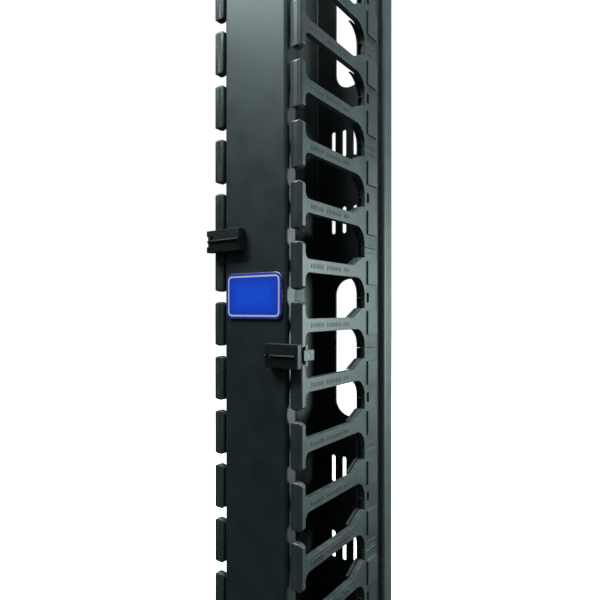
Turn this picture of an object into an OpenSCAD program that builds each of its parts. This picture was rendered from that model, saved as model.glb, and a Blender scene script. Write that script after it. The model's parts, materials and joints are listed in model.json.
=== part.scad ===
// Vertical cable manager for an open rack: a folded steel spine with two rear rails,
// two columns of clip-on plastic finger combs and a narrow swing-open steel cover.
// X is the width, -Y the front, +Z up. Depths (d) are measured rearwards from the plane
// of the finger heads, and in_frame() places them about the origin.

/* [Rack] */
// Height of one rack unit, which is also the pitch of the fingers
unit_h = 44.45; // [40:0.05:50]
// Number of two-finger comb modules up each side
modules = 9; // [5:1:18]

/* [Sheet metal] */
// Thickness of the spine, rails and cover sheets
sheet_t = 1.5; // [1:0.1:2]
// Outside radius of a bend in the sheet
bend_r = 3; // [2.5:0.1:4]
// Overall width across the two rear rails
rail_w = 91.4; // [88:0.1:96]
// Depth of each rail's outer face
rail_d = 18; // [14:0.2:24]
// Width of each rail's rear flange
flange_w = 20; // [18:0.5:24]
// Overall depth from the finger heads to the rear of the rails
frame_d = 150; // [130:1:200]

/* [Back pattern] */
// Width of a cable pass-through
pass_w = 32; // [20:1:44]
// Height of a cable pass-through
pass_h = 139; // [60:1:180]
// Width of a tie slot
tie_w = 4.5; // [3:0.1:6]
// Height of a tie slot
tie_h = 27.5; // [15:0.5:40]
// Spacing of the four tie slots in a row
tie_pitch = 12.7; // [9:0.1:14]
// Distance between the two rows of a pair of tie-slot rows
tie_row_gap = 78; // [50:1:90]

/* [Fasteners and mounts] */
// Distance of the rear holes from each rail's outer face
hole_in = 13.7; // [12:0.1:16]
// Radius of a rear mounting hole
mount_r = 3.3; // [2:0.1:3.5]
// Radius of a rivet's shank
rivet_r = 1.6; // [1:0.1:2]
// Radius of a rivet's head
rivet_head_r = 3; // [2.5:0.1:3.5]
// Height of a rivet's head
rivet_head_h = 1; // [0.6:0.1:1.2]

/* [Finger combs] */
// How far each rail stands out beyond the comb column in front of it
rail_over = 1.6; // [1.5:0.1:3]
// Width of a finger head along X
head_w = 11; // [8:0.1:11.2]
// Depth of a finger head
head_d = 5; // [4:0.1:6]
// Gap between two finger heads
head_gap = 8.3; // [7:0.1:12]
// Radius of a finger head's front edges and ends
head_r = 2; // [1:0.1:2.2]
// Radius of a finger head's domed ends, seen from the front
dome_r = 7; // [5:0.5:12]
// Depth of the flutes down a finger head's face
flute_d = 0.35; // [0.1:0.05:0.6]
// Height of a finger's arm
arm_h = 10; // [8:0.1:14]
// Thickness of a finger's arm
arm_t = 4.9; // [4.4:0.1:5.2]
// Fillet between a finger's arm and its head
arm_fillet = 5.5; // [2:0.1:6]
// Depth at which the windows between fingers end
window_d = 96.5; // [85:0.5:112]
// Radius of a window's upper rear corner
window_r = 14.5; // [8:0.5:16]
// Length of the slope in a window's lower rear corner
slope_l = 19.5; // [12:0.5:26]
// Height of the slope in a window's lower rear corner
slope_h = 8; // [5:0.1:12]
// Length of the flat ledge above that slope
ledge_l = 4; // [2:0.5:8]
// Depth of a comb's root behind the windows
root_d = 22; // [19:0.5:26]
// Thickness of the root's outer wall
wall_t = 3.5; // [3:0.1:3.6]
// Thickness of the root's inner lip
lip_t = 3; // [2:0.1:3.4]
// Width of the flush rim along a window's rear edge
rim_w = 4; // [3:0.1:5.5]
// How far the root is recessed between the tabs
recess = 0.6; // [0.2:0.1:1.2]
// Height of the raised tab behind each finger
tab_h = 21; // [14:0.5:28]
// How far the tab stands out beyond the outer face of the comb
tab_proud = 1.5; // [0.5:0.1:1.5]
// Depth of the raised tab
tab_d = 17.5; // [14:0.5:20]
// Height of the moulding slot beside each catch nib
nib_slot_h = 9; // [6:0.5:12]
// Clearance between neighbouring combs
comb_clear = 0.5; // [0.2:0.1:1]

/* [Cover] */
// Gap between each side of the cover and the finger heads
cover_side_gap = 2.1; // [1.8:0.1:4]
// Depth of the cover's side returns
cover_d = 14; // [10:0.5:18]
// How far the cover's face stands ahead of the finger heads
cover_front = 1.5; // [1:0.1:2.5]
// Gap between each end of the cover and the end of the frame
cover_end_gap = 0.5; // [0.5:0.5:6]
// Width of the inward lip along each of the cover's rear edges
cover_lip = 6; // [4:0.5:10]
// Height of the badge plate
badge_h = 36; // [20:1:50]
// Thickness of the badge plate
badge_t = 1.4; // [0.6:0.1:2]

/* [Latches] */
// Length of the latch block along X
block_w = 29.7; // [28:0.1:34]
// Length of the hinge block along X
hinge_block_w = 36; // [30:0.5:38]
// Height of both blocks
block_h = 17.5; // [17:0.5:24]
// Thickness of both blocks
block_t = 7; // [6.6:0.1:9]
// How far the ridge stands ahead of its block
ridge_out = 1; // [0.5:0.1:2]
// Height of the ridge
ridge_h = 1.6; // [1.2:0.1:3]
// Travel of the sliding bolt
bolt_travel = 3; // [2:0.1:3.4]
// Radius of the hinge pin
pin_r = 1.5; // [1:0.1:1.8]
// Thickness of a keeper lug along X
keeper_t = 4.6; // [4:0.1:4.6]

/* [Clearances] */
// Radial clearance of the hinge pin in its knuckle
pin_clear = 0.05; // [0.02:0.01:0.1]
// Clearance of a rivet in its hole
rivet_clear = 0.1; // [0.05:0.05:0.2]
// Clearance of a keeper between two finger heads
keeper_clear = 0.15; // [0.1:0.05:0.3]
// Clearance around the sliding bolt
slide_clear = 0.25; // [0.2:0.05:0.4]

/* [Hidden] */
$fn = 48;

frame_h = 2 * modules * unit_h;
front_out = cover_front + block_t + ridge_out;
frame_y = -(frame_d - front_out) / 2;

// Heights of the badge and of the two latch blocks
badge_z = (2 * floor(modules / 2) + 1) * unit_h;
hinge_z = badge_z + unit_h;
latch_z = badge_z - unit_h;

// Spine: a channel whose side flanges the combs clip over
spine_back_d = frame_d - sheet_t;
comb_x = rail_w / 2 - rail_over;
groove_clear = 0.25;
flange_x = comb_x - wall_t - groove_clear;
flange_front_d = window_d + 3.5;
bend_in = bend_r - sheet_t;

// Back pattern, centred on the badge's height and repeated every seven and a half units
pass_pitch = 7.5 * unit_h;
pass_first = badge_z - 49;
tie_first = badge_z + 120;
edge_margin = 12;
repeats = [-3:3];
pass_zs = [for (i = repeats) let (z = pass_first + i * pass_pitch)
    if (z - pass_h / 2 > edge_margin && z + pass_h / 2 < frame_h - edge_margin) z];
tie_zs = [for (i = repeats, s = [-1, 1]) let (z = tie_first + i * pass_pitch + s * tie_row_gap / 2)
    if (z - tie_h / 2 > edge_margin && z + tie_h / 2 < frame_h - edge_margin) z];

// Rear holes: rivets every four units from the third, mounting holes one unit from each end
rivet_zs = [for (z = [3 * unit_h : 4 * unit_h : frame_h - 2 * unit_h]) z];
mount_zs = [unit_h, frame_h - unit_h];
hole_x = rail_w / 2 - hole_in;

// Comb
comb_h = 2 * unit_h - comb_clear;
head_h = unit_h - head_gap;
finger_zs = [-unit_h / 2, unit_h / 2];
root_rear_d = window_d + root_d;
tab_front_d = window_d + rim_w;
end_rib_h = 1.6;
end_rib_z = comb_h / 2 - 3.4;
nib_d = flange_front_d + 1.6;
nib_l = 3.6;
nib_h = 7;
nib_hole_clear = 0.4;
flute_r = 1.3;
flute_pitch = 5.2;
rim_groove_w = 4;
rim_groove_d = 2;
rib_h = 1.2;

// Cover and latches
cover_w = 2 * (comb_x - head_w - cover_side_gap);
badge_w = cover_w - 2 * bend_r;
pan_front_d = -cover_front;
block_rear_d = -cover_front;
block_front_d = block_rear_d - block_t;
block_over = 1.6;
block_end_x = comb_x + block_over;
block_facet = 0.7;
block_front_r = 2.5;
block_rear_r = 1.5;
block_inner_r = 0.8;
pin_x = block_end_x - block_t / 2 - 0.4;
pin_d = block_rear_d - block_t / 2;
knuckle_r = block_t / 2 - 0.3;
knuckle_ring = 0.7;
fork_h = head_gap + 0.3;
keeper_h = head_gap - 2 * keeper_clear;
keeper_x = comb_x + 0.3;
keeper_front_d = 2.7;
keeper_rear_d = 16;
ear_h = 4;
ear_d = 3;
ear_gap = 0.2;
keeper_rivet_d = (keeper_front_d + keeper_rear_d) / 2;
block_rivet_x = cover_w / 2 - 9;
block_rivet_z = block_h / 2 - 2.4;
block_rivet_depth = 4;
bolt_h = 8;
bolt_front_d = block_rear_d - 4.8;
case_inner_x = block_end_x - 27.7;
bolt_inner_x = case_inner_x + 8;
tongue_x = keeper_x - keeper_t - 4.4;
tongue_t = 2.4;
tongue_h = 6.4;
tongue_rear_d = 10;
nose_out = 0.6;
nose_l = 3;
spring_r = 1.5;
spring_wire_r = 0.35;
spring_turns = 6;
ridge_x0 = case_inner_x + 3;
ridge_x1 = ridge_x0 + 11;

// Places children so that depths count from the finger heads' front plane
module in_frame() { translate([0, frame_y, 0]) children(); }

// A rectangle from one corner to the other
module rect(a, b) { translate(a) square(b - a); }

// A block from one corner to the other
module block(a, b) { translate(a) cube(b - a); }

// A rectangle with round corners, given by two corners
module round_rect(a, b, r) {
    rect([a[0] + r, a[1]], [b[0] - r, b[1]]);
    rect([a[0], a[1] + r], [b[0], b[1] - r]);
    for (x = [a[0] + r, b[0] - r], y = [a[1] + r, b[1] - r]) translate([x, y]) circle(r);
}

// The web left in a square corner by a concave fillet, with the corner at the origin and both
// of its straight sides sunk a little into what it joins
module corner_web(r) {
    difference() {
        translate([-0.5, -0.5]) square(r + 0.5);
        translate([r, r]) circle(r);
    }
}

// An upright slot with round ends
module upright_slot(w, h) {
    translate([0, -(h - w) / 2]) circle(w / 2);
    translate([0, (h - w) / 2]) circle(w / 2);
    square([w, h - w], center = true);
}

// Turns a flat (x, z) shape into a cut from depth a to depth b
module through_depth(a, b) { translate([0, b, 0]) rotate([90, 0, 0]) linear_extrude(b - a) children(); }

// Turns a flat (d, z) shape into a plate from width a to width b
module across_width(a, b) { translate([a, 0, 0]) rotate([90, 0, 90]) linear_extrude(b - a) children(); }

// Holes of the two rear columns, as flat shapes
module rear_holes(side) {
    for (z = rivet_zs) translate([side * hole_x, z]) circle(rivet_r + rivet_clear);
    for (z = mount_zs) translate([side * hole_x, z]) circle(mount_r);
}

// A channel section with round bends, open towards -Y
module channel_2d(half_w, front, rear, r) {
    difference() {
        round_rect([-half_w, front - 2 * r], [half_w, rear], r);
        round_rect([sheet_t - half_w, front - 3 * r], [half_w - sheet_t, rear - sheet_t], r - sheet_t);
        rect([-half_w - 1, front - 4 * r], [half_w + 1, front]);
    }
}

module spine() {
    color("#1c2224") in_frame() difference() {
        linear_extrude(frame_h) channel_2d(flange_x, flange_front_d, spine_back_d, bend_r);
        through_depth(spine_back_d - 2 * sheet_t, spine_back_d + 1) {
            for (z = pass_zs) translate([0, z]) upright_slot(pass_w, pass_h);
            for (z = tie_zs, i = [-1.5:1.5]) translate([i * tie_pitch, z]) upright_slot(tie_w, tie_h);
            for (side = [-1, 1]) rear_holes(side);
        }
        across_width(-flange_x - 1, flange_x + 1)
            for (i = [0:modules - 1]) translate([nib_d, (2 * i + 1) * unit_h])
                rect([-nib_hole_clear, -nib_h / 2 - nib_hole_clear],
                     [nib_l + nib_hole_clear, nib_h / 2 + nib_hole_clear]);
    }
}

// Rail section on the right: front return, outer wall and rear flange
module rail_2d() {
    difference() {
        round_rect([0, frame_d - rail_d], [rail_w / 2, frame_d], bend_r);
        round_rect([-bend_r, frame_d - rail_d + sheet_t], [rail_w / 2 - sheet_t, frame_d - sheet_t], bend_in);
        rect([-bend_r, frame_d - rail_d - 1], [flange_x, frame_d - sheet_t]);
        rect([-bend_r, frame_d - rail_d - 1], [rail_w / 2 - flange_w, frame_d + 1]);
    }
}

module rail_right() {
    color("#4a5557") in_frame() difference() {
        linear_extrude(frame_h) rail_2d();
        through_depth(frame_d - 2 * sheet_t, frame_d + 1) rear_holes(1);
    }
}

module rail_left() { mirror([1, 0, 0]) rail_right(); }

// A rivet with its shank along +Z from the origin and its head below
module rivet(grip) {
    cylinder(h = grip, r = rivet_r);
    translate([0, 0, -rivet_head_h]) cylinder(h = rivet_head_h, r = rivet_head_r);
}

module rail_rivets(side) {
    color("#2b3133") in_frame() for (z = rivet_zs)
        translate([side * hole_x, spine_back_d - sheet_t, z]) rotate([-90, 0, 0]) rivet(2 * sheet_t);
}

// One finger's arm from behind its head to the root, with its corner webs
module arm_2d() {
    rect([head_d - 0.5, -arm_h / 2], [window_d + 0.5, arm_h / 2]);
    translate([head_d, arm_h / 2]) corner_web(arm_fillet);
    translate([head_d, -arm_h / 2]) mirror([0, 1]) corner_web(arm_fillet);
    root_corner_2d();
}

// The slope and ledge above an arm's root and the round web below it
module root_corner_2d() {
    polygon([[window_d - slope_l, arm_h / 2], [window_d + 0.5, arm_h / 2],
             [window_d + 0.5, arm_h / 2 + slope_h], [window_d - ledge_l, arm_h / 2 + slope_h]]);
    translate([window_d, -arm_h / 2]) mirror([1, 0]) mirror([0, 1]) corner_web(window_r);
}

// A finger's head, centred on its arm: fluted face, rounded front edges and domed ends
module finger_head() {
    mid_x = comb_x - head_w / 2;
    intersection() {
        translate([0, 0, -head_h / 2]) linear_extrude(head_h)
            difference() {
                round_rect([comb_x - head_w, 0], [comb_x, head_d + 2 * head_r], head_r);
                rect([comb_x - head_w - 1, head_d], [comb_x + 1, head_d + 3 * head_r]);
                for (i = [-1, 1]) translate([mid_x + i * flute_pitch / 2, flute_d - flute_r]) circle(flute_r);
            }
        across_width(comb_x - head_w, comb_x) difference() {
            round_rect([0, -head_h / 2], [head_d + 2 * head_r, head_h / 2], head_r);
            rect([head_d, -head_h], [head_d + 3 * head_r, head_h]);
        }
        through_depth(-1, head_d + 1) translate([mid_x, 0]) {
            rect([-head_w, dome_r - head_h / 2], [head_w, head_h / 2 - dome_r]);
            for (s = [-1, 1]) translate([0, s * (head_h / 2 - dome_r)]) circle(dome_r);
        }
    }
}

// The root clips over the spine's flange: outer wall, web and inner lip
module comb_root() {
    lip_in_x = flange_x - sheet_t - lip_t;
    rim_x0 = comb_x - wall_t + 0.5 - rim_groove_w;
    difference() {
        block([lip_in_x, window_d, -comb_h / 2], [comb_x, root_rear_d, comb_h / 2]);
        block([flange_x - sheet_t, flange_front_d, -comb_h],
              [flange_x + groove_clear, root_rear_d + 1, comb_h]);
        block([rim_x0, window_d - 1, rib_h / 2], [rim_x0 + rim_groove_w, window_d + rim_groove_d, comb_h]);
        block([rim_x0, window_d - 1, -comb_h], [rim_x0 + rim_groove_w, window_d + rim_groove_d, -rib_h / 2]);
        block([comb_x - recess, tab_front_d, -comb_h], [comb_x + 1, root_rear_d + 1, comb_h]);
        across_width(flange_x, comb_x + 1)
            translate([nib_d + nib_l / 2, 0]) round_rect([-2.2, -nib_slot_h / 2], [2.2, nib_slot_h / 2], 1);
    }
    block([flange_x - sheet_t - 0.5, nib_d, -nib_h / 2], [flange_x - 0.3, nib_d + nib_l, nib_h / 2]);
    for (s = [-1, 1]) block([comb_x - recess - 0.5, tab_front_d - 0.5, s * end_rib_z - end_rib_h / 2],
                            [comb_x - 0.1, root_rear_d - 2, s * end_rib_z + end_rib_h / 2]);
    for (z = finger_zs) {
        block([comb_x - 2.5, tab_front_d, z - tab_h / 2], [comb_x + tab_proud, tab_front_d + tab_d, z + tab_h / 2]);
        across_width(lip_in_x, lip_in_x + 2) intersection() {
            translate([0, z]) root_corner_2d();
            rect([window_d - slope_l, -comb_h / 2], [window_d + 1, comb_h / 2]);
        }
    }
}

module comb_right(i) {
    color("#39444a") in_frame() translate([0, 0, (2 * i - 1) * unit_h]) {
        comb_root();
        for (z = finger_zs) translate([0, 0, z]) {
            across_width(comb_x - arm_t, comb_x) arm_2d();
            finger_head();
        }
    }
}

module comb_left(i) { mirror([1, 0, 0]) comb_right(i); }

// A lug between two finger heads, with ears that catch behind them, centred on its height
module keeper_lug() {
    difference() {
        union() {
            block([keeper_x - keeper_t, keeper_front_d, -keeper_h / 2],
                  [keeper_x, keeper_rear_d, keeper_h / 2]);
            block([keeper_x - keeper_t, head_d + ear_gap, -keeper_h / 2 - ear_h],
                  [comb_x, head_d + ear_gap + ear_d, keeper_h / 2 + ear_h]);
        }
        translate([0, keeper_rivet_d, 0]) rotate([0, 90, 0])
            cylinder(h = keeper_x + 1, r = rivet_r + rivet_clear);
    }
}

module keeper_right() { color("#8d9596") in_frame() translate([0, 0, latch_z]) keeper_lug(); }

// The left keeper also carries the ringed knuckle that the cover turns on
module keeper_left() {
    color("#8d9596") in_frame() translate([0, 0, hinge_z]) mirror([1, 0, 0]) {
        keeper_lug();
        difference() {
            union() {
                translate([0, 0, -keeper_h / 2]) linear_extrude(keeper_h) {
                    translate([pin_x, pin_d]) circle(knuckle_r);
                    rect([pin_x - knuckle_r, pin_d], [keeper_x, keeper_front_d + 1]);
                }
                translate([pin_x, pin_d, -ridge_h / 2]) cylinder(h = ridge_h, r = knuckle_r + knuckle_ring);
            }
            translate([pin_x, pin_d, -keeper_h]) cylinder(h = 2 * keeper_h, r = pin_r + pin_clear);
        }
    }
}

module keeper_rivet(side, z) {
    color("#5c6466") in_frame() mirror([side > 0 ? 0 : 1, 0, 0])
        translate([keeper_x - keeper_t, keeper_rivet_d, z]) rotate([0, 90, 0]) rivet(keeper_t - 0.3);
}

// Cover: a shallow pan with side returns, inward lips and closed ends
module cover() {
    pan_rear_d = pan_front_d + cover_d;
    half_w = cover_w / 2;
    color("#2a3436") in_frame() difference() {
        translate([0, 0, cover_end_gap]) union() {
            linear_extrude(frame_h - 2 * cover_end_gap) difference() {
                round_rect([-half_w, pan_front_d], [half_w, pan_rear_d], bend_r);
                round_rect([sheet_t - half_w, pan_front_d + sheet_t],
                           [half_w - sheet_t, pan_rear_d - sheet_t], bend_in);
                rect([cover_lip - half_w, pan_rear_d - 2 * sheet_t], [half_w - cover_lip, pan_rear_d + 1]);
            }
            for (z = [0, frame_h - 2 * cover_end_gap - sheet_t])
                translate([0, 0, z]) linear_extrude(sheet_t)
                    rect([-half_w + bend_r, pan_front_d + sheet_t / 2], [half_w - bend_r, pan_rear_d - sheet_t / 2]);
        }
        through_depth(pan_front_d - 1, pan_front_d + 2 * sheet_t) for (side = [-1, 1], s = [-1, 1])
            translate([side * block_rivet_x, (side < 0 ? hinge_z : latch_z) + s * block_rivet_z])
                circle(rivet_r + rivet_clear);
    }
}

module badge_plate() {
    color("#1d3fae") in_frame() translate([0, 0, badge_z])
        through_depth(pan_front_d - badge_t, pan_front_d)
            round_rect([-badge_w / 2, -badge_h / 2], [badge_w / 2, badge_h / 2], 6);
}

// A block on the right from its inner to its outer end, with round upright edges and a front
// face of two shallow facets that meet at its middle
module block_body(length) {
    inner_x = block_end_x - length;
    half_h = block_h / 2;
    intersection() {
        translate([0, 0, -half_h]) linear_extrude(block_h) hull() {
            translate([block_end_x - block_front_r, block_front_d + block_front_r]) circle(block_front_r);
            translate([block_end_x - block_rear_r, block_rear_d - block_rear_r]) circle(block_rear_r);
            translate([inner_x + block_inner_r, block_front_d + block_inner_r]) circle(block_inner_r);
            translate([inner_x, block_rear_d - 1]) square([1, 1]);
        }
        across_width(inner_x, block_end_x)
            polygon([[block_rear_d, -half_h], [block_rear_d, half_h], [block_front_d + block_facet, half_h],
                     [block_front_d, ridge_h / 2], [block_front_d, -ridge_h / 2],
                     [block_front_d + block_facet, -half_h]]);
    }
}

// A low ridge across the middle of a block's front, from x0 to x1 and back to a depth
module front_ridge(x0, x1, rear_d) {
    across_width(x0, x1)
        polygon([[rear_d, -ridge_h / 2], [block_front_d, -ridge_h / 2],
                 [block_front_d - ridge_out, -ridge_h / 4], [block_front_d - ridge_out, ridge_h / 4],
                 [block_front_d, ridge_h / 2], [rear_d, ridge_h / 2]]);
}

// Blind holes for the two rivets that hold a block to the cover
module block_rivet_holes() {
    for (s = [-1, 1]) translate([block_rivet_x, block_rear_d - block_rivet_depth, s * block_rivet_z])
        rotate([-90, 0, 0]) cylinder(h = block_rivet_depth + 1, r = rivet_r + rivet_clear);
}

module block_rivets(side, z) {
    color("#5c6466") in_frame() mirror([side > 0 ? 0 : 1, 0, 0]) translate([0, 0, z])
        for (s = [-1, 1]) translate([block_rivet_x, pan_front_d + sheet_t, s * block_rivet_z])
            rotate([90, 0, 0]) rivet(sheet_t + block_rivet_depth);
}

// Hinge block: forked around the left keeper's knuckle
module hinge_block() {
    color("#1a1f21") in_frame() mirror([1, 0, 0]) translate([0, 0, hinge_z]) difference() {
        union() {
            block_body(hinge_block_w);
            front_ridge(block_end_x - hinge_block_w + block_inner_r, block_end_x - block_front_r, pin_d);
        }
        block([pin_x - knuckle_r - knuckle_ring - 0.4, block_front_d - 2, -fork_h / 2],
              [block_end_x + 1, block_rear_d + 1, fork_h / 2]);
        translate([pin_x, pin_d, -block_h]) cylinder(h = 2 * block_h, r = pin_r);
        block_rivet_holes();
    }
}

module hinge_pin() {
    color("#9aa3a5") in_frame() translate([-pin_x, pin_d, hinge_z - block_h / 2])
        cylinder(h = block_h, r = pin_r);
}

// Latch case: a block hollowed for the sliding bolt and its spring
module latch_case() {
    half_h = bolt_h / 2 + slide_clear;
    ridge_half = ridge_h / 2 + slide_clear;
    slot_x0 = ridge_x0 - bolt_travel - slide_clear;
    slot_x1 = ridge_x1 + slide_clear;
    tongue_end_x = tongue_x + tongue_t + nose_out + slide_clear;
    color("#1a1f21") in_frame() translate([0, 0, latch_z]) difference() {
        union() {
            block_body(block_w);
            front_ridge(slot_x1, block_end_x - block_front_r, block_front_d + 0.5);
            front_ridge(block_end_x - block_w + block_inner_r, slot_x0, block_front_d + 0.5);
        }
        block([case_inner_x, bolt_front_d - slide_clear, -half_h], [tongue_end_x, block_rear_d + 1, half_h]);
        block([slot_x0, block_front_d - 2, -ridge_half], [slot_x1, block_rear_d, ridge_half]);
        block_rivet_holes();
    }
}

module latch_bolt() {
    color("#22282a") in_frame() translate([0, 0, latch_z]) {
        block([bolt_inner_x, bolt_front_d, -bolt_h / 2], [tongue_x + tongue_t, block_rear_d - slide_clear, bolt_h / 2]);
        block([tongue_x, bolt_front_d, -tongue_h / 2], [tongue_x + tongue_t, tongue_rear_d, tongue_h / 2]);
        block([tongue_x + tongue_t - 0.5, tongue_rear_d - nose_l, -tongue_h / 2],
              [tongue_x + tongue_t + nose_out, tongue_rear_d, tongue_h / 2]);
        front_ridge(ridge_x0, ridge_x1, bolt_front_d);
        block([bolt_inner_x + 1, block_front_d + 1, -ridge_h / 4], [ridge_x1 - 1, bolt_front_d + 1, ridge_h / 4]);
    }
}

// A coil of round wire along +Z, as rings of points joined one to the next
module coil(r, wire_r, height, turns) {
    sides = 6;
    steps = 16 * turns;
    points = [for (i = [0:steps], j = [0:sides - 1])
        let (a = 360 * turns * i / steps, b = 360 * j / sides, reach = r + wire_r * cos(b))
        [reach * cos(a), reach * sin(a), wire_r + (height - 2 * wire_r) * i / steps + wire_r * sin(b)]];
    walls = [for (i = [0:steps - 1], j = [0:sides - 1])
        let (k = (j + 1) % sides)
        [i * sides + j, i * sides + k, (i + 1) * sides + k, (i + 1) * sides + j]];
    ends = [[for (j = [sides - 1:-1:0]) j], [for (j = [0:sides - 1]) steps * sides + j]];
    polyhedron(points, concat(walls, ends));
}

// Coil spring between the case's inner end and the bolt
module latch_spring() {
    color("#b5bcbe") in_frame()
        translate([case_inner_x, (bolt_front_d + block_rear_d) / 2, latch_z]) rotate([0, 90, 0])
            coil(spring_r, spring_wire_r, bolt_inner_x - case_inner_x, spring_turns);
}

spine();
rail_left();
rail_right();
rail_rivets(-1);  // rail_rivets_left
rail_rivets(1);  // rail_rivets_right
for (i = [1:modules]) {
    comb_left(i);
    comb_right(i);
}
keeper_left();
keeper_right();
keeper_rivet(-1, hinge_z);  // keeper_rivet_left
keeper_rivet(1, latch_z);  // keeper_rivet_right
cover();
badge_plate();
hinge_block();
hinge_pin();
latch_case();
latch_bolt();
latch_spring();
block_rivets(-1, hinge_z);  // block_rivets_left
block_rivets(1, latch_z);  // block_rivets_right
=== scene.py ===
"""The dressed vertical cable manager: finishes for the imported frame, softened mouldings and small details.

Everything is in metres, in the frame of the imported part: X across, -Y the front, +Z up.
"""

import json
import math

import bpy
from mathutils import Matrix, Vector

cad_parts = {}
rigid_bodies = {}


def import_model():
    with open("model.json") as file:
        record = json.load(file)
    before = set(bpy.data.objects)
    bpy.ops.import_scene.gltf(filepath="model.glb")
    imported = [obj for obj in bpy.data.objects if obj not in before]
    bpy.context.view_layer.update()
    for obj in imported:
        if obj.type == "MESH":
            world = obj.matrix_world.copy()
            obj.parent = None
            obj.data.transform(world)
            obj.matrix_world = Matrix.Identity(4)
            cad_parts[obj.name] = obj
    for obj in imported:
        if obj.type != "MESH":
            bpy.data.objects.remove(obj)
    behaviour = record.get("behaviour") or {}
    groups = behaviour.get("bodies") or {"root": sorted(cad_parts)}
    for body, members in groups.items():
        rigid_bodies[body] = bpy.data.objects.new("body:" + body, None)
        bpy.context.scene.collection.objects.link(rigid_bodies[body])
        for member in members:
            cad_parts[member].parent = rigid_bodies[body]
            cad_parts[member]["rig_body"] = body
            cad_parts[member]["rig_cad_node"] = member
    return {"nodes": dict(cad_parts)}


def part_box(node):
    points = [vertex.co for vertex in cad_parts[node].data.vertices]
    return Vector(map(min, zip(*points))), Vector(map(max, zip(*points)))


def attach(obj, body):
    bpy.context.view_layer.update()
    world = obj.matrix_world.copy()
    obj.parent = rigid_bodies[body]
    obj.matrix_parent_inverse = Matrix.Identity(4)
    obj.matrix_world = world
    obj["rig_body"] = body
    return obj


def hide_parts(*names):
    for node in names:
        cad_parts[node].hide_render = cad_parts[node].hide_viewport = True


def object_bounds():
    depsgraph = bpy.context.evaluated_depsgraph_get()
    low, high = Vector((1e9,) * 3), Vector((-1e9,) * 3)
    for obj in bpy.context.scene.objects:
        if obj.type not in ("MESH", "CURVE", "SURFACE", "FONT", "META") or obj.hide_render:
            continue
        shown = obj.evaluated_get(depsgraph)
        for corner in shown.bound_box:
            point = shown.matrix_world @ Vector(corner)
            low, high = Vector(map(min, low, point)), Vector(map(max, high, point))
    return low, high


MM = 0.001
UNIT = 0.04445  # the fingers' pitch

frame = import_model()
NODES = frame["nodes"]
cad_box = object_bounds()

HEIGHT = cad_box[1].z - cad_box[0].z
MODULES = round(HEIGHT / (2 * UNIT))
HEADS_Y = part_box("comb_right_1")[0].y
TAB_PROUD = 1.5 * MM
ARM_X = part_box("comb_right_1")[1].x - TAB_PROUD
badge_low, badge_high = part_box("badge_plate")
BADGE_Z = (badge_low.z + badge_high.z) / 2


# ---------------------------------------------------------------- node groups


def new_group(name, inputs, outputs):
    """A shader node group with its input and output nodes; inputs and outputs are (name, type, default)."""
    tree = bpy.data.node_groups.new(name, "ShaderNodeTree")
    for label, kind, default in inputs:
        socket = tree.interface.new_socket(label, in_out="INPUT", socket_type=kind)
        if default is not None:
            socket.default_value = default
    for label, kind in outputs:
        tree.interface.new_socket(label, in_out="OUTPUT", socket_type=kind)
    return tree, tree.nodes.new("NodeGroupInput"), tree.nodes.new("NodeGroupOutput")


def maths(tree, operation, a, b=None, clamp=False):
    """A Math node fed by sockets or numbers; one input for ABSOLUTE and SQRT."""
    node = tree.nodes.new("ShaderNodeMath")
    node.operation = operation
    node.use_clamp = clamp
    for slot, value in enumerate([a, b]):
        if value is None:
            continue
        if isinstance(value, (int, float)):
            node.inputs[slot].default_value = value
        else:
            tree.links.new(value, node.inputs[slot])
    return node.outputs[0]


def noise(tree, vector, scale, detail=2.0, rough=0.5):
    """A Noise Texture's value at the given scale."""
    node = tree.nodes.new("ShaderNodeTexNoise")
    node.inputs["Detail"].default_value = detail
    node.inputs["Roughness"].default_value = rough
    tree.links.new(vector, node.inputs["Vector"])
    if isinstance(scale, (int, float)):
        node.inputs["Scale"].default_value = scale
    else:
        tree.links.new(scale, node.inputs["Scale"])
    return node.outputs["Fac"]


def map_range(tree, value, low, high, to_low=0.0, to_high=1.0):
    """A clamped Map Range node."""
    node = tree.nodes.new("ShaderNodeMapRange")
    tree.links.new(value, node.inputs["Value"])
    node.inputs["From Min"].default_value = low
    node.inputs["From Max"].default_value = high
    node.inputs["To Min"].default_value = to_low
    node.inputs["To Max"].default_value = to_high
    return node.outputs["Result"]


WORN_RADIUS = 0.5 * MM
FINE_GRAIN = 2600.0
SPRAYED_GRAIN = 1500.0


def make_grain_group():
    """Fine moulded or sprayed texture: a height for bump and a mask for colour."""
    tree, start, end = new_group(
        "grain",
        [("Scale", "NodeSocketFloat", FINE_GRAIN), ("Coarse Scale", "NodeSocketFloat", 60.0)],
        [("Height", "NodeSocketFloat"), ("Mottle", "NodeSocketFloat")],
    )
    place = tree.nodes.new("ShaderNodeTexCoord").outputs["Object"]
    fine = noise(tree, place, start.outputs["Scale"], 2.0, 0.55)
    coarse = noise(tree, place, start.outputs["Coarse Scale"], 3.0, 0.5)
    tree.links.new(fine, end.inputs["Height"])
    tree.links.new(map_range(tree, coarse, 0.3, 0.7), end.inputs["Mottle"])
    return tree


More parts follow.
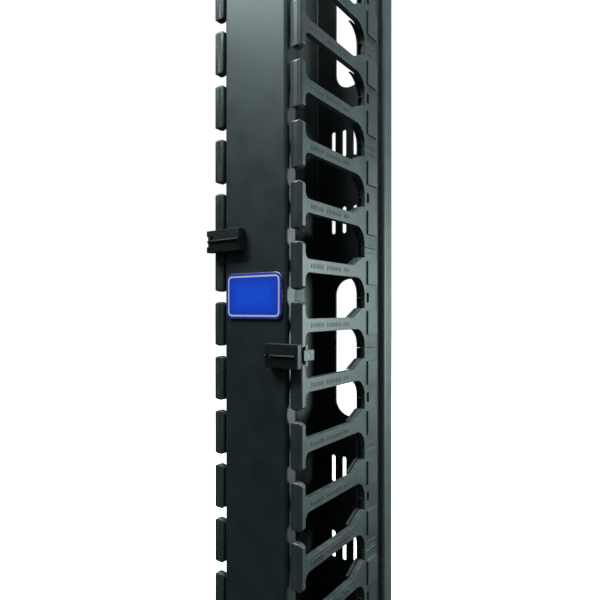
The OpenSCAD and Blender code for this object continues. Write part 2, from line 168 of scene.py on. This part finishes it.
def make_wear_group():
    """Rubbed edges: a mask that is highest on sharp edges, broken up by noise, and the rounded normal."""
    tree, start, end = new_group(
        "edge_wear",
        [("Amount", "NodeSocketFloat", 0.6)],
        [("Mask", "NodeSocketFloat"), ("Normal", "NodeSocketVector")],
    )
    bevel = tree.nodes.new("ShaderNodeBevel")
    bevel.samples = 4
    bevel.inputs["Radius"].default_value = WORN_RADIUS
    shape = tree.nodes.new("ShaderNodeNewGeometry")
    dot = tree.nodes.new("ShaderNodeVectorMath")
    dot.operation = "DOT_PRODUCT"
    tree.links.new(bevel.outputs["Normal"], dot.inputs[0])
    tree.links.new(shape.outputs["Normal"], dot.inputs[1])
    edge = map_range(tree, dot.outputs["Value"], 0.995, 0.86)
    place = tree.nodes.new("ShaderNodeTexCoord").outputs["Object"]
    broken = map_range(tree, noise(tree, place, 180.0, 4.0, 0.65), 0.38, 0.62)
    mask = maths(tree, "MULTIPLY", maths(tree, "MULTIPLY", edge, broken), start.outputs["Amount"])
    tree.links.new(mask, end.inputs["Mask"])
    tree.links.new(bevel.outputs["Normal"], end.inputs["Normal"])
    return tree


def make_dust_group():
    """Light dust that settles on faces that look up."""
    tree, start, end = new_group(
        "settled_dust", [("Amount", "NodeSocketFloat", 0.3)], [("Mask", "NodeSocketFloat")]
    )
    shape = tree.nodes.new("ShaderNodeNewGeometry")
    split = tree.nodes.new("ShaderNodeSeparateXYZ")
    tree.links.new(shape.outputs["Normal"], split.inputs[0])
    up = map_range(tree, split.outputs["Z"], 0.4, 1.0)
    place = tree.nodes.new("ShaderNodeTexCoord").outputs["Object"]
    patches = map_range(tree, noise(tree, place, 90.0, 5.0, 0.6), 0.35, 0.75)
    mask = maths(tree, "MULTIPLY", maths(tree, "MULTIPLY", up, patches), start.outputs["Amount"])
    tree.links.new(mask, end.inputs["Mask"])
    return tree


GRAIN = make_grain_group()
WEAR = make_wear_group()
DUST = make_dust_group()


# ------------------------------------------------------------------ materials


def use_group(tree, group, **values):
    """Places a node group in a material with its own input values."""
    node = tree.nodes.new("ShaderNodeGroup")
    node.node_tree = group
    for label, value in values.items():
        node.inputs[label.replace("_", " ")].default_value = value
    return node


def mix_colour(tree, mask, a, b):
    """A colour mixed from a to b by a mask; each is a socket or a colour."""
    node = tree.nodes.new("ShaderNodeMix")
    node.data_type = "RGBA"
    tree.links.new(mask, node.inputs["Factor"])
    for socket, value in ((node.inputs[6], a), (node.inputs[7], b)):
        if isinstance(value, tuple):
            socket.default_value = (*value, 1.0)
        else:
            tree.links.new(value, socket)
    return node.outputs[2]


DUST_GREY = (0.2, 0.21, 0.2)
ROUGHNESS_SPREAD = (-0.03, 0.04)
RUBBED_SMOOTHER = 0.12
DUST_ROUGHER = 0.3
RELIEF_DEPTH = 0.1 * MM


def coated(name, dark, light, rubbed, rough, grain, bump, wear, dust=0.25, specular=0.5):
    """A textured coat or moulded plastic: mottled between dark and light, rubbed on its edges."""
    material = bpy.data.materials.new(name)
    material.use_nodes = True
    tree = material.node_tree
    shader = tree.nodes["Principled BSDF"]
    shader.inputs["Specular IOR Level"].default_value = specular
    texture = use_group(tree, GRAIN, Scale=grain)
    edges = use_group(tree, WEAR, Amount=wear)
    settled = use_group(tree, DUST, Amount=dust)
    colour = mix_colour(tree, texture.outputs["Mottle"], dark, light)
    colour = mix_colour(tree, edges.outputs["Mask"], colour, rubbed)
    colour = mix_colour(tree, settled.outputs["Mask"], colour, DUST_GREY)
    tree.links.new(colour, shader.inputs["Base Color"])
    low, high = (rough + step for step in ROUGHNESS_SPREAD)
    spread = map_range(tree, texture.outputs["Mottle"], 0.0, 1.0, low, high)
    polished = maths(tree, "MULTIPLY", edges.outputs["Mask"], RUBBED_SMOOTHER)
    dulled = maths(tree, "MULTIPLY", settled.outputs["Mask"], DUST_ROUGHER)
    spread = maths(tree, "ADD", maths(tree, "SUBTRACT", spread, polished), dulled, clamp=True)
    tree.links.new(spread, shader.inputs["Roughness"])
    relief = tree.nodes.new("ShaderNodeBump")
    relief.inputs["Strength"].default_value = bump
    relief.inputs["Distance"].default_value = RELIEF_DEPTH
    tree.links.new(texture.outputs["Height"], relief.inputs["Height"])
    tree.links.new(edges.outputs["Normal"], relief.inputs["Normal"])
    tree.links.new(relief.outputs["Normal"], shader.inputs["Normal"])
    return material


def steel(name, colour, rough):
    """Turned or drawn steel, a little uneven in shade and in gloss."""
    material = bpy.data.materials.new(name)
    material.use_nodes = True
    tree = material.node_tree
    shader = tree.nodes["Principled BSDF"]
    shader.inputs["Metallic"].default_value = 1.0
    texture = use_group(tree, GRAIN, Scale=1800.0, Coarse_Scale=220.0)
    bright = tuple(min(1.0, c * 1.35) for c in colour)
    tree.links.new(mix_colour(tree, texture.outputs["Mottle"], colour, bright), shader.inputs["Base Color"])
    spread = map_range(tree, texture.outputs["Mottle"], 0.0, 1.0, rough, rough + 0.15)
    tree.links.new(spread, shader.inputs["Roughness"])
    return material


FINGER_PLASTIC = coated(
    "finger_plastic",
    dark=(0.022, 0.028, 0.030),
    light=(0.030, 0.037, 0.039),
    rubbed=(0.09, 0.11, 0.11),
    rough=0.38,
    grain=FINE_GRAIN,
    bump=0.25,
    wear=0.5,
)
# The same black plastic as the fingers, made darker as painted shade for the front-facing latch, hinge,
# slide and left knuckle.
LATCH_PLASTIC_PAINTED_SHADE = coated(
    "latch_plastic",
    dark=(0.005, 0.006, 0.0065),
    light=(0.008, 0.009, 0.01),
    rubbed=(0.04, 0.045, 0.045),
    rough=0.42,
    grain=3000.0,
    bump=0.15,
    wear=0.4,
    dust=0.15,
    specular=0.3,
)
KEEPER_PLASTIC = coated(
    "keeper_plastic",
    dark=(0.024, 0.031, 0.033),
    light=(0.034, 0.042, 0.045),
    rubbed=(0.1, 0.12, 0.12),
    rough=0.36,
    grain=FINE_GRAIN,
    bump=0.15,
    wear=0.4,
)
COVER_COAT = coated(
    "cover_coat",
    dark=(0.010, 0.014, 0.015),
    light=(0.014, 0.019, 0.020),
    rubbed=(0.05, 0.06, 0.06),
    rough=0.44,
    grain=SPRAYED_GRAIN,
    bump=0.5,
    wear=0.3,
    dust=0.1,
)
# The same black powder coat as the cover and spine, made lighter as painted light for the rails' lit side
# faces.
RAIL_COAT_PAINTED_LIGHT = coated(
    "rail_coat_painted_light",
    dark=(0.03, 0.039, 0.04),
    light=(0.037, 0.047, 0.049),
    rubbed=(0.1, 0.12, 0.12),
    rough=0.42,
    grain=SPRAYED_GRAIN,
    bump=0.4,
    wear=0.4,
)
# The same black powder coat as the cover and rails, made darker as painted shade for the dim interior behind
# the combs.
SPINE_COAT_PAINTED_SHADE = coated(
    "spine_coat_painted_shade",
    dark=(0.004, 0.006, 0.0065),
    light=(0.006, 0.008, 0.0085),
    rubbed=(0.03, 0.036, 0.036),
    rough=0.5,
    grain=SPRAYED_GRAIN,
    bump=0.4,
    wear=0.3,
)
BLACK_STEEL = steel("blackened_steel", (0.09, 0.1, 0.105), 0.4)
BRIGHT_STEEL = steel("bright_steel", (0.55, 0.57, 0.58), 0.25)


BADGE_CORNER = 6 * MM
VIOLET_BAND = 1.4 * MM
LINE_STARTS = 2.0 * MM
LINE_ENDS = 3.5 * MM
LINE_SOFTNESS = 0.2 * MM


def badge_blue():
    """Domed badge: blue with a silver border line and a violet edge, under a clear coat."""
    material = bpy.data.materials.new("badge_blue")
    material.use_nodes = True
    tree = material.node_tree
    shader = tree.nodes["Principled BSDF"]
    place = tree.nodes.new("ShaderNodeTexCoord").outputs["Object"]
    split = tree.nodes.new("ShaderNodeSeparateXYZ")
    tree.links.new(place, split.inputs[0])
    half_w = (badge_high.x - badge_low.x) / 2 - BADGE_CORNER
    half_h = (badge_high.z - badge_low.z) / 2 - BADGE_CORNER
    side = maths(tree, "SUBTRACT", maths(tree, "ABSOLUTE", split.outputs["X"]), half_w)
    rise = maths(tree, "ABSOLUTE", maths(tree, "SUBTRACT", split.outputs["Z"], BADGE_Z))
    rise = maths(tree, "SUBTRACT", rise, half_h)
    side_squared = maths(tree, "POWER", maths(tree, "MAXIMUM", side, 0.0), 2.0)
    rise_squared = maths(tree, "POWER", maths(tree, "MAXIMUM", rise, 0.0), 2.0)
    round_part = maths(tree, "SQRT", maths(tree, "ADD", side_squared, rise_squared))
    straight_part = maths(tree, "MINIMUM", maths(tree, "MAXIMUM", side, rise), 0.0)
    inset = maths(tree, "SUBTRACT", BADGE_CORNER, maths(tree, "ADD", round_part, straight_part))
    inwards = map_range(tree, inset, 3 * MM, 14 * MM)
    face = mix_colour(tree, inwards, (0.010, 0.05, 0.55), (0.012, 0.085, 0.75))
    band = map_range(tree, inset, VIOLET_BAND + LINE_SOFTNESS, VIOLET_BAND - LINE_SOFTNESS)
    colour = mix_colour(tree, band, face, (0.045, 0.03, 0.26))
    line_begins = map_range(tree, inset, LINE_STARTS, LINE_STARTS + LINE_SOFTNESS)
    line_stops = map_range(tree, inset, LINE_ENDS, LINE_ENDS - LINE_SOFTNESS)
    line = maths(tree, "MULTIPLY", line_begins, line_stops)
    colour = mix_colour(tree, line, colour, (0.62, 0.60, 0.62))
    tree.links.new(colour, shader.inputs["Base Color"])
    flecks = noise(tree, place, 900.0, 2.0)
    tree.links.new(map_range(tree, flecks, 0.3, 0.7, 0.22, 0.3), shader.inputs["Roughness"])
    shader.inputs["Coat Weight"].default_value = 0.8
    shader.inputs["Coat Roughness"].default_value = 0.08
    return material


BADGE_BLUE = badge_blue()


def dress(node, material):
    """Gives a CAD node or a piece one material."""
    slots = node.data.materials
    if len(slots) == 0:
        slots.append(material)
    for index in range(len(slots)):
        slots[index] = material


# ------------------------------------------------------------- modelling help


def only(obj):
    """Makes one object the only selected and active one."""
    bpy.ops.object.select_all(action="DESELECT")
    obj.select_set(True)
    bpy.context.view_layer.objects.active = obj


def settle(obj):
    """Puts an object's place, turn and size into its mesh."""
    only(obj)
    bpy.ops.object.transform_apply(location=True, rotation=True, scale=True)


MERGE_GAP = 0.005 * MM
SAME_FACE_ANGLE = math.radians(2)
ROUNDED_FROM_ANGLE = math.radians(35)
SMOOTH_UP_TO_ANGLE = math.radians(30)


def softened(name, node, width, segments=2):
    """A copy of a CAD node, merged and with its edges rounded."""
    piece = NODES[node].copy()
    piece.data = NODES[node].data.copy()
    piece.name = name
    piece.parent = None
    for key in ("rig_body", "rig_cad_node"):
        if key in piece:
            del piece[key]
    bpy.context.scene.collection.objects.link(piece)
    only(piece)
    bpy.ops.object.mode_set(mode="EDIT")
    bpy.ops.mesh.select_all(action="SELECT")
    bpy.ops.mesh.remove_doubles(threshold=MERGE_GAP)
    bpy.ops.mesh.dissolve_limited(angle_limit=SAME_FACE_ANGLE)
    bpy.ops.object.mode_set(mode="OBJECT")
    rounding = piece.modifiers.new("rounded_edges", "BEVEL")
    rounding.width = width
    rounding.segments = segments
    rounding.limit_method = "ANGLE"
    rounding.angle_limit = ROUNDED_FROM_ANGLE
    rounding.use_clamp_overlap = True
    bpy.ops.object.modifier_apply(modifier=rounding.name)
    bpy.ops.object.shade_smooth_by_angle(angle=SMOOTH_UP_TO_ANGLE)
    flat = piece.modifiers.new("flat_faces", "WEIGHTED_NORMAL")
    flat.keep_sharp = True
    bpy.ops.object.modifier_apply(modifier=flat.name)
    return piece


# --------------------------------------------------------------------- combs


def copy_of(piece, name, offset, mirrored=False):
    """A copy of a finished piece with its own mesh, moved and perhaps mirrored left to right."""
    twin = piece.copy()
    twin.data = piece.data.copy()
    twin.name = name
    bpy.context.scene.collection.objects.link(twin)
    move = Matrix.Translation(Vector(offset))
    if mirrored:
        move = move @ Matrix.Scale(-1, 4, Vector((1, 0, 0)))
    twin.data.transform(move)
    if mirrored:
        twin.data.flip_normals()
    return twin


def joined(name, pieces):
    """Joins finished pieces into the first of them."""
    bpy.ops.object.select_all(action="DESELECT")
    for piece in pieces:
        piece.select_set(True)
    bpy.context.view_layer.objects.active = pieces[0]
    bpy.ops.object.join()
    pieces[0].name = name
    return pieces[0]


TICK_RAISED = 0.3 * MM
TICK_W = 0.9 * MM
TICK_HEIGHTS = (3.6 * MM, 2.6 * MM)
TICK_EDGE = 0.12 * MM
TICK_PITCH = 2.3 * MM
# each group's start behind the heads, and its count
TICK_GROUPS = [(13 * MM, 8), (35 * MM, 10), (61 * MM, 4)]


def raised_tick(height):
    """One low raised bar with soft edges, at the origin."""
    bpy.ops.object.select_all(action="DESELECT")
    bpy.ops.mesh.primitive_cube_add(size=1)
    tick = bpy.context.active_object
    tick.scale = (2 * TICK_RAISED, TICK_W, height)
    settle(tick)
    rounding = tick.modifiers.new("soft_edges", "BEVEL")
    rounding.width = TICK_EDGE
    rounding.segments = 1
    bpy.ops.object.modifier_apply(modifier=rounding.name)
    return tick


def arm_marks():
    """Plain raised bars along the outer faces of the first comb's two arms, in three groups."""
    ticks = [raised_tick(height) for height in TICK_HEIGHTS]
    marks = []
    for arm_z in (UNIT / 2, 3 * UNIT / 2):
        for start, count in TICK_GROUPS:
            for i in range(count):
                place = (ARM_X, HEADS_Y + start + i * TICK_PITCH, arm_z)
                marks.append(copy_of(ticks[i % 2], f"tick_{len(marks)}", place))
    for tick in ticks:
        bpy.data.objects.remove(tick)
    return joined("arm_marks", marks)


def make_combs():
    """Every comb module: one softened master with its marks, copied up both sides."""
    master = joined("comb_master", [softened("comb_body", "comb_right_1", 0.5 * MM, 3), arm_marks()])
    dress(master, FINGER_PLASTIC)
    for i in range(1, MODULES + 1):
        rise = (0, 0, 2 * UNIT * (i - 1))
        for side in ("right", "left"):
            node = f"comb_{side}_{i}"
            piece = copy_of(master, f"finger_{node}", rise, side == "left")
            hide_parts(node)
            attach(piece, "manager_frame")
    bpy.data.objects.remove(master)


make_combs()


# --------------------------------------------------- sheet metal and mouldings


def refined(name, node, body, material, width, segments=2):
    """Stands a softened copy in a CAD node's place, with its body and material."""
    piece = softened(name, node, width, segments)
    dress(piece, material)
    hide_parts(node)
    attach(piece, body)
    return piece


refined("cover_pan", "cover", "cover", COVER_COAT, 0.3 * MM)
refined("domed_badge", "badge_plate", "cover", BADGE_BLUE, 0.7 * MM, 4)
refined("hinge_moulding", "hinge_block", "cover", LATCH_PLASTIC_PAINTED_SHADE, 0.35 * MM)
refined("latch_moulding", "latch_case", "cover", LATCH_PLASTIC_PAINTED_SHADE, 0.35 * MM)
refined("thumb_slide", "latch_bolt", "latch_slide", LATCH_PLASTIC_PAINTED_SHADE, 0.15 * MM)
refined("right_keeper_lug", "keeper_right", "manager_frame", KEEPER_PLASTIC, 0.8 * MM, 3)
refined("left_keeper_knuckle", "keeper_left", "manager_frame", LATCH_PLASTIC_PAINTED_SHADE, 0.3 * MM)
for side in ("left", "right"):
    refined(f"{side}_rail_sheet", f"rail_{side}", "manager_frame", RAIL_COAT_PAINTED_LIGHT, 0.3 * MM)

dress(NODES["spine"], SPINE_COAT_PAINTED_SHADE)
for name in NODES:
    if "rivet" in name:
        dress(NODES[name], BLACK_STEEL)
dress(NODES["hinge_pin"], BRIGHT_STEEL)
dress(NODES["latch_spring"], BRIGHT_STEEL)


# ---------------------------------------------------------------------- stage


EYE_RIGHT = 0.2567
EYE_BEFORE_HEADS = 0.3024
EYE_BELOW_BADGE = 0.01
LOOKS_LEFT = 35.3  # degrees


def make_camera():
    """Level camera close by on the right, looking past the cover at the right finger column."""
    data = bpy.data.cameras.new("camera")
    data.lens = 30.54
    data.sensor_width = 36.0
    data.shift_y = 0.015
    camera = bpy.data.objects.new("camera", data)
    bpy.context.scene.collection.objects.link(camera)
    camera.location = (EYE_RIGHT, HEADS_Y - EYE_BEFORE_HEADS, BADGE_Z - EYE_BELOW_BADGE)
    camera.rotation_euler = (math.radians(90), 0, math.radians(LOOKS_LEFT))
    data.clip_start = 0.01
    bpy.context.scene.camera = camera


def make_light(name, place, target, size, power, colour):
    """A soft rectangular light at a place, turned to a target; the power is in watts."""
    data = bpy.data.lights.new(name, "AREA")
    data.shape = "RECTANGLE"
    data.size, data.size_y = size
    data.energy = power
    data.color = colour
    lamp = bpy.data.objects.new(name, data)
    bpy.context.scene.collection.objects.link(lamp)
    lamp.location = place
    lamp.rotation_euler = (Vector(target) - Vector(place)).to_track_quat("-Z", "Z").to_euler()


LEVEL_SKY = 0.008
TOP_SKY = 0.45


def make_world():
    """A studio that is dim below and lighter above, and white behind the object."""
    world = bpy.data.worlds.new("studio")
    bpy.context.scene.world = world
    world.use_nodes = True
    tree = world.node_tree
    tree.nodes.clear()
    direction = tree.nodes.new("ShaderNodeTexCoord").outputs["Generated"]
    split = tree.nodes.new("ShaderNodeSeparateXYZ")
    tree.links.new(direction, split.inputs[0])
    soft = tree.nodes.new("ShaderNodeBackground")
    soft.inputs["Color"].default_value = (0.82, 1.0, 1.0, 1)
    strength = map_range(tree, split.outputs["Z"], 0.0, 1.0, LEVEL_SKY, TOP_SKY)
    tree.links.new(strength, soft.inputs["Strength"])
    white = tree.nodes.new("ShaderNodeBackground")
    white.inputs["Color"].default_value = (1, 1, 1, 1)
    path = tree.nodes.new("ShaderNodeLightPath")
    mix = tree.nodes.new("ShaderNodeMixShader")
    tree.links.new(path.outputs["Is Camera Ray"], mix.inputs[0])
    tree.links.new(soft.outputs[0], mix.inputs[1])
    tree.links.new(white.outputs[0], mix.inputs[2])
    out = tree.nodes.new("ShaderNodeOutputWorld")
    tree.links.new(mix.outputs[0], out.inputs[0])


FLOOR_GLOW = 0.88


def make_floor():
    """A plain floor under the object, white to the camera and dim to everything else."""
    bpy.ops.object.select_all(action="DESELECT")
    bpy.ops.mesh.primitive_plane_add(size=12, location=(0, 0, -0.0005))
    floor = bpy.context.active_object
    floor.name = "floor"
    material = bpy.data.materials.new("pale_floor")
    material.use_nodes = True
    tree = material.node_tree
    shader = tree.nodes["Principled BSDF"]
    shader.inputs["Roughness"].default_value = 0.9
    shader.inputs["Specular IOR Level"].default_value = 0.1
    path = tree.nodes.new("ShaderNodeLightPath")
    seen = path.outputs["Is Camera Ray"]
    colour = mix_colour(tree, seen, (0.025, 0.025, 0.025), (0.9, 0.9, 0.9))
    tree.links.new(colour, shader.inputs["Base Color"])
    glow = tree.nodes.new("ShaderNodeEmission")
    tree.links.new(maths(tree, "MULTIPLY", seen, FLOOR_GLOW), glow.inputs["Strength"])
    both = tree.nodes.new("ShaderNodeAddShader")
    tree.links.new(shader.outputs[0], both.inputs[0])
    tree.links.new(glow.outputs[0], both.inputs[1])
    tree.links.new(both.outputs[0], tree.nodes["Material Output"].inputs[0])
    floor.data.materials.append(material)


make_camera()
make_world()
make_floor()
TOP_END = (0, 0, 0.8)
LOWER_HALF = (0, 0, 0.3)
make_light("side_softbox", (1.3, 0.95, 0.3), LOWER_HALF, (1.0, 0.7), 34, (0.8, 1.0, 0.98))
make_light("front_top_softbox", (-0.6, -0.75, 1.75), TOP_END, (0.8, 0.5), 42, (0.8, 1.0, 0.99))
make_light("overhead_softbox", (0.5, -0.05, 1.9), TOP_END, (0.5, 0.5), 46, (0.84, 1.0, 0.99))

bpy.context.scene.view_settings.view_transform = "Standard"
